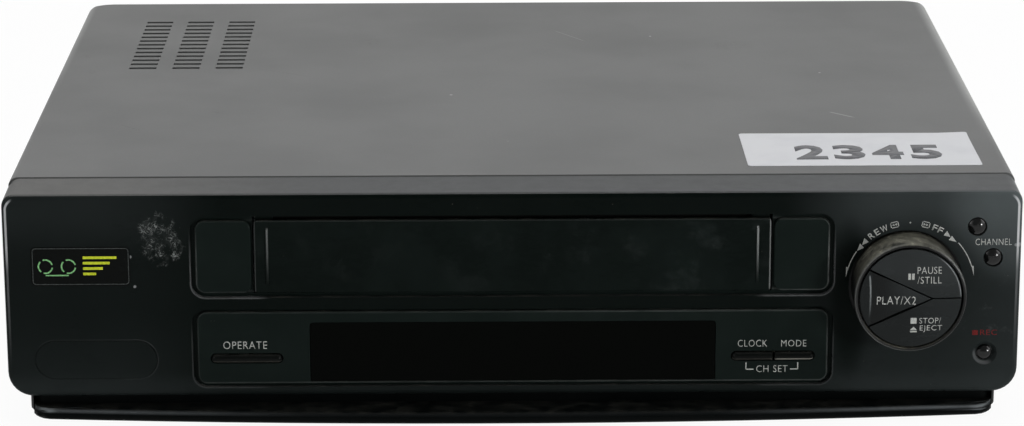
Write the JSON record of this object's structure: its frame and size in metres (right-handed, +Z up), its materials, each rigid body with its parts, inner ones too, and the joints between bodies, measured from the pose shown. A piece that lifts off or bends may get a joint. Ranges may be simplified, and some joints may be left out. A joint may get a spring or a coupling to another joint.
{
  "type": "video cassette recorder",
  "caption": "Front-loading video cassette recorder with a hinged cassette door, a wide display window, a shuttle ring round press segments, and the loader and tape deck inside.",
  "frame": {"origin": "centre of the overall box at table height, midway between the dial's face and the aerial sockets' rims", "axes": "+Z up, +X to the right as seen from the front, the front faces -Y"},
  "size_m": [0.38, 0.3393, 0.091],
  "materials": {
    "moulded_black": "fine satin moulding",
    "panel_inset": "satin moulding",
    "smoked_window": "polished, smoked",
    "key_plastic": "satin, worn at the edges",
    "ring_plastic": "satin, dusty on its upper side",
    "cover_paint": "grained dark grey paint",
    "zinc_plate": "zinc plated",
    "spring_steel": "bright wire",
    "black_plastic": "dull moulding",
    "rear_paint": "dull black paint",
    "black_screw": "blackened",
    "foot_plastic": "dull moulding",
    "rubber": "soft, matt",
    "nickel": "nickel plated",
    "board": "resin board with solder",
    "core_steel": "varnished laminations",
    "machined_alloy": "fine turned",
    "shaft_steel": "ground",
    "reel_plastic": "smooth moulding",
    "white_plastic": "natural acetal",
    "brass": "turned"
  },
  "bodies": {
    "case": {"front_panel": "moulded_black", "plinth": "moulded_black", "door_surround": "panel_inset", "door_spring": "spring_steel", "control_panel": "panel_inset", "display_window": "smoked_window", "dial_hub": "black_plastic", "top_cover": "cover_paint", "cover_screws": "black_screw", "chassis": "black_plastic", "bottom_plate": "zinc_plate", "rear_panel": "rear_paint", "feet": "foot_plastic", "foot_pads": "rubber", "scart_socket": "black_plastic", "aerial_sockets": "nickel", "mains_inlet": "black_plastic", "display_board": "board", "key_board": "board", "main_board": "board", "power_board": "board", "transformer": "core_steel", "tuner": "zinc_plate", "deck_plate": "zinc_plate", "cassette_housing": "zinc_plate", "lower_drum": "machined_alloy", "capstan_housing": "machined_alloy", "guide_posts": "shaft_steel", "erase_head": "machined_alloy", "audio_head": "machined_alloy", "loading_motor": "zinc_plate"},
    "door": {"cassette_door": "moulded_black"},
    "operate_button": {"operate_button": "key_plastic"},
    "clock_button": {"clock_button": "key_plastic"},
    "mode_button": {"mode_button": "key_plastic"},
    "channel_up_button": {"channel_up_button": "key_plastic"},
    "channel_down_button": {"channel_down_button": "key_plastic"},
    "rec_button": {"rec_button": "key_plastic"},
    "shuttle_ring": {"shuttle_ring": "ring_plastic"},
    "play_button": {"play_button": "key_plastic"},
    "pause_button": {"pause_button": "key_plastic"},
    "stop_button": {"stop_button": "key_plastic"},
    "carriage": {"basket_carriage": "zinc_plate"},
    "basket": {"cassette_basket": "zinc_plate"},
    "upper_drum": {"upper_drum": "machined_alloy"},
    "capstan": {"capstan": "shaft_steel"},
    "pinch_arm": {"pinch_arm": "zinc_plate"},
    "pinch_roller": {"pinch_roller": "rubber"},
    "supply_spindle": {"supply_spindle": "reel_plastic"},
    "takeup_spindle": {"takeup_spindle": "reel_plastic"},
    "idler_arm": {"idler_arm": "zinc_plate"},
    "idler_wheel": {"idler_wheel": "rubber"},
    "supply_guide": {"supply_guide": "machined_alloy"},
    "takeup_guide": {"takeup_guide": "machined_alloy"},
    "tension_arm": {"tension_arm": "zinc_plate"},
    "cam_gear": {"cam_gear": "white_plastic"},
    "worm": {"worm": "brass"}
  },
  "joints": [
    {"name": "door_hinge", "type": "hinge", "parent": "case", "child": "door", "pos_m": [0, -0.14765, 0.084], "axis": [1, 0, 0], "range_deg": [0, 88], "stiffness_Nm_per_rad": 0.003, "springref_deg": -28.65},
    {"name": "operate_press", "type": "slide", "parent": "case", "child": "operate_button", "axis": [0, 1, 0], "range_m": [0, 0.0008], "stiffness_N_per_m": 400, "springref_m": -0.002},
    {"name": "clock_press", "type": "slide", "parent": "case", "child": "clock_button", "axis": [0, 1, 0], "range_m": [0, 0.0008], "stiffness_N_per_m": 400, "springref_m": -0.002},
    {"name": "mode_press", "type": "slide", "parent": "case", "child": "mode_button", "axis": [0, 1, 0], "range_m": [0, 0.0008], "stiffness_N_per_m": 400, "springref_m": -0.002},
    {"name": "channel_up_press", "type": "slide", "parent": "case", "child": "channel_up_button", "axis": [0, 1, 0], "range_m": [0, 0.0008], "stiffness_N_per_m": 400, "springref_m": -0.002},
    {"name": "channel_down_press", "type": "slide", "parent": "case", "child": "channel_down_button", "axis": [0, 1, 0], "range_m": [0, 0.0008], "stiffness_N_per_m": 400, "springref_m": -0.002},
    {"name": "rec_press", "type": "slide", "parent": "case", "child": "rec_button", "axis": [0, 1, 0], "range_m": [0, 0.0008], "stiffness_N_per_m": 400, "springref_m": -0.002},
    {"name": "play_press", "type": "slide", "parent": "case", "child": "play_button", "axis": [0, 1, 0], "range_m": [0, 0.0008], "stiffness_N_per_m": 400, "springref_m": -0.002},
    {"name": "pause_press", "type": "slide", "parent": "case", "child": "pause_button", "axis": [0, 1, 0], "range_m": [0, 0.0008], "stiffness_N_per_m": 400, "springref_m": -0.002},
    {"name": "stop_press", "type": "slide", "parent": "case", "child": "stop_button", "axis": [0, 1, 0], "range_m": [0, 0.0008], "stiffness_N_per_m": 400, "springref_m": -0.002},
    {"name": "shuttle_turn", "type": "hinge", "parent": "case", "child": "shuttle_ring", "pos_m": [0.14711, -0.15265, 0.0533], "axis": [0, 1, 0], "range_deg": [-65, 65], "stiffness_Nm_per_rad": 0.02},
    {"name": "loader_travel", "type": "slide", "parent": "case", "child": "carriage", "axis": [0, 1, 0], "range_m": [0, 0.022]},
    {"name": "basket_drop", "type": "slide", "parent": "carriage", "child": "basket", "axis": [0, 0, -1], "range_m": [0, 0.018]},
    {"name": "drum_turn", "type": "hinge", "parent": "case", "child": "upper_drum", "pos_m": [0, 0.02965, 0.0282], "axis": [0, -0.0958, 0.9954], "continuous": true},
    {"name": "capstan_turn", "type": "hinge", "parent": "case", "child": "capstan", "pos_m": [0.062, -0.01235, 0.0282], "axis": [0, 0, 1], "continuous": true},
    {"name": "pinch_swing", "type": "hinge", "parent": "case", "child": "pinch_arm", "pos_m": [0.092, 0.00565, 0.0282], "axis": [0, 0, 1], "range_deg": [0, 28]},
    {"name": "pinch_roller_turn", "type": "hinge", "parent": "pinch_arm", "child": "pinch_roller", "pos_m": [0.06455, 0.00853, 0.0282], "axis": [0, 0, 1], "continuous": true},
    {"name": "supply_turn", "type": "hinge", "parent": "case", "child": "supply_spindle", "pos_m": [-0.046, -0.07265, 0.0282], "axis": [0, 0, 1], "continuous": true},
    {"name": "takeup_turn", "type": "hinge", "parent": "case", "child": "takeup_spindle", "pos_m": [0.046, -0.07265, 0.0282], "axis": [0, 0, 1], "continuous": true},
    {"name": "idler_swing", "type": "hinge", "parent": "case", "child": "idler_arm", "pos_m": [0, -0.05265, 0.0282], "axis": [0, 0, 1], "range_deg": [-13, 13]},
    {"name": "idler_turn", "type": "hinge", "parent": "idler_arm", "child": "idler_wheel", "pos_m": [0, -0.08265, 0.0282], "axis": [0, 0, 1], "continuous": true},
    {"name": "supply_guide_travel", "type": "slide", "parent": "case", "child": "supply_guide", "axis": [-0.1357, 0.9907, 0], "range_m": [0, 0.078]},
    {"name": "takeup_guide_travel", "type": "slide", "parent": "case", "child": "takeup_guide", "axis": [0.1357, 0.9907, 0], "range_m": [0, 0.078]},
    {"name": "tension_swing", "type": "hinge", "parent": "case", "child": "tension_arm", "pos_m": [-0.081, -0.02035, 0.0282], "axis": [0, 0, 1], "range_deg": [0, 20]},
    {"name": "cam_turn", "type": "hinge", "parent": "case", "child": "cam_gear", "pos_m": [-0.058, -0.00235, 0.02], "axis": [0, 0, 1], "range_deg": [0, 200]},
    {"name": "worm_turn", "type": "hinge", "parent": "case", "child": "worm", "pos_m": [-0.058, 0.02535, 0.02], "axis": [1, 0, 0], "continuous": true}
  ],
  "couplings": [
    {"joint": "takeup_guide_travel", "follows": "supply_guide_travel", "ratio": 1},
    {"joint": "cam_turn", "follows": "supply_guide_travel", "rad_per_m": 44.75},
    {"joint": "pinch_swing", "follows": "supply_guide_travel", "rad_per_m": 6.26},
    {"joint": "tension_swing", "follows": "supply_guide_travel", "rad_per_m": 4.47},
    {"joint": "worm_turn", "follows": "supply_guide_travel", "rad_per_m": 2148}
  ]
}
